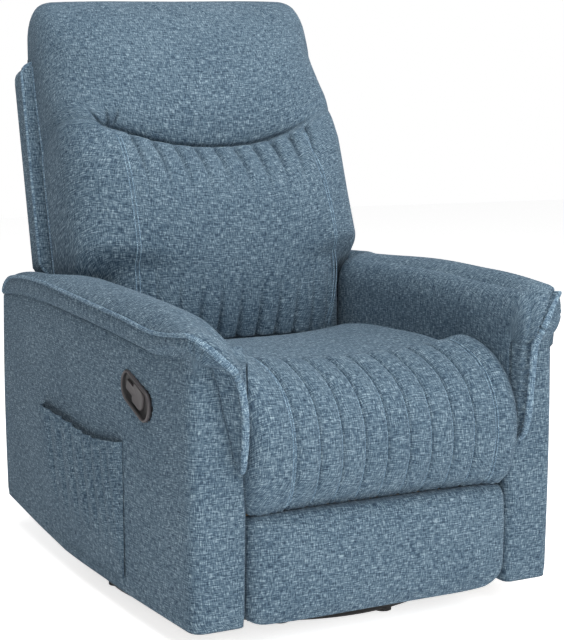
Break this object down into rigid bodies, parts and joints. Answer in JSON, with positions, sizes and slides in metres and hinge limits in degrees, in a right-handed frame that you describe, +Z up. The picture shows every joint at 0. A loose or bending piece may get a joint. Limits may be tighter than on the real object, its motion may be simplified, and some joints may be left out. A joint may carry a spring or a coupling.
{
  "type": "swivel recliner",
  "caption": "Upholstered swivel recliner with padded arms, channelled seat front, reclining back, lever-released footrest and a black ring base.",
  "frame": {"origin": "on the floor, on the swivel axis of the ring base", "axes": "+Z up, the chair faces -Y, +X is the viewer's right when facing the chair"},
  "size_m": [0.7204, 0.928, 1.0386],
  "materials": {
    "upholstery": "slate-blue heathered weave over foam",
    "webbing": "woven elastic strap",
    "timber": "plain plywood and softwood",
    "black_steel": "black powder coat",
    "zinc_steel": "zinc-plated",
    "black_plastic": "fine-grained moulded plastic"
  },
  "bodies": {
    "base": {"base_ring": "black_steel", "base_spider": "black_steel", "base_glides": "black_plastic", "swivel_lower_plate": "zinc_steel", "swivel_bearing_ring": "black_plastic", "swivel_king_bolt": "zinc_steel"},
    "chair": {"swivel_upper_plate": "zinc_steel", "front_cross_channel": "zinc_steel", "rear_cross_channel": "zinc_steel", "right_side_plate": "zinc_steel", "left_side_plate": "zinc_steel", "link_pivot_pins": "zinc_steel", "back_hinge_pins": "zinc_steel", "right_seat_side_rail": "timber", "left_seat_side_rail": "timber", "seat_front_rail": "timber", "seat_rear_rail": "timber", "seat_straps": "webbing", "seat_cushion": "upholstery", "right_arm_frame": "timber", "left_arm_frame": "timber", "right_arm_cover": "upholstery", "left_arm_cover": "upholstery", "right_arm_pad": "upholstery", "left_arm_pad": "upholstery", "arm_bolts": "zinc_steel", "side_pocket": "upholstery", "handle_bezel": "black_plastic", "handle_pin": "zinc_steel", "release_cable": "black_plastic"},
    "back": {"right_back_post": "zinc_steel", "left_back_post": "zinc_steel", "back_post_bolts": "zinc_steel", "right_back_stile": "timber", "left_back_stile": "timber", "back_top_rail": "timber", "back_middle_rail": "timber", "back_bottom_rail": "timber", "back_straps": "webbing", "back_shell": "upholstery", "lumbar_cushion": "upholstery", "right_back_bolster": "upholstery", "left_back_bolster": "upholstery", "head_pillow": "upholstery"},
    "lever": {"handle_lever": "black_plastic"},
    "rear_links": {"right_rear_link": "zinc_steel", "left_rear_link": "zinc_steel", "link_torque_tube": "zinc_steel", "rear_link_pins": "zinc_steel"},
    "front_links": {"right_front_link": "zinc_steel", "left_front_link": "zinc_steel", "front_link_pins": "zinc_steel"},
    "footrest": {"right_footrest_bracket": "zinc_steel", "left_footrest_bracket": "zinc_steel", "footrest_board": "timber", "footrest_pad": "upholstery"}
  },
  "joints": [
    {"name": "swivel", "type": "hinge", "parent": "base", "child": "chair", "pos_m": [0, 0, 0], "axis": [0, 0, 1], "continuous": true},
    {"name": "back_recline", "type": "hinge", "parent": "chair", "child": "back", "pos_m": [0, 0.32443, 0.27094], "axis": [-1, 0, 0], "range_deg": [0, 42]},
    {"name": "release_lever", "type": "hinge", "parent": "chair", "child": "lever", "pos_m": [-0.33045, -0.15209, 0.402], "axis": [0, 0.5, -0.866], "range_deg": [0, 32], "stiffness_Nm_per_rad": 0.4},
    {"name": "footrest_open", "type": "hinge", "parent": "chair", "child": "rear_links", "pos_m": [0, -0.262, 0.19], "axis": [-1, 0, 0], "range_deg": [0, 118]},
    {"name": "footrest_knee", "type": "hinge", "parent": "rear_links", "child": "front_links", "pos_m": [0, -0.20495, 0.06765], "axis": [-1, 0, 0], "range_deg": [-138.05, 0]},
    {"name": "footrest_tilt", "type": "hinge", "parent": "front_links", "child": "footrest", "pos_m": [0, -0.305, 0.185], "axis": [-1, 0, 0], "range_deg": [0, 115.05]}
  ],
  "couplings": [
    {"joint": "footrest_knee", "follows": "footrest_open", "ratio": -1.1657},
    {"joint": "footrest_tilt", "follows": "footrest_open", "ratio": 0.97076}
  ]
}
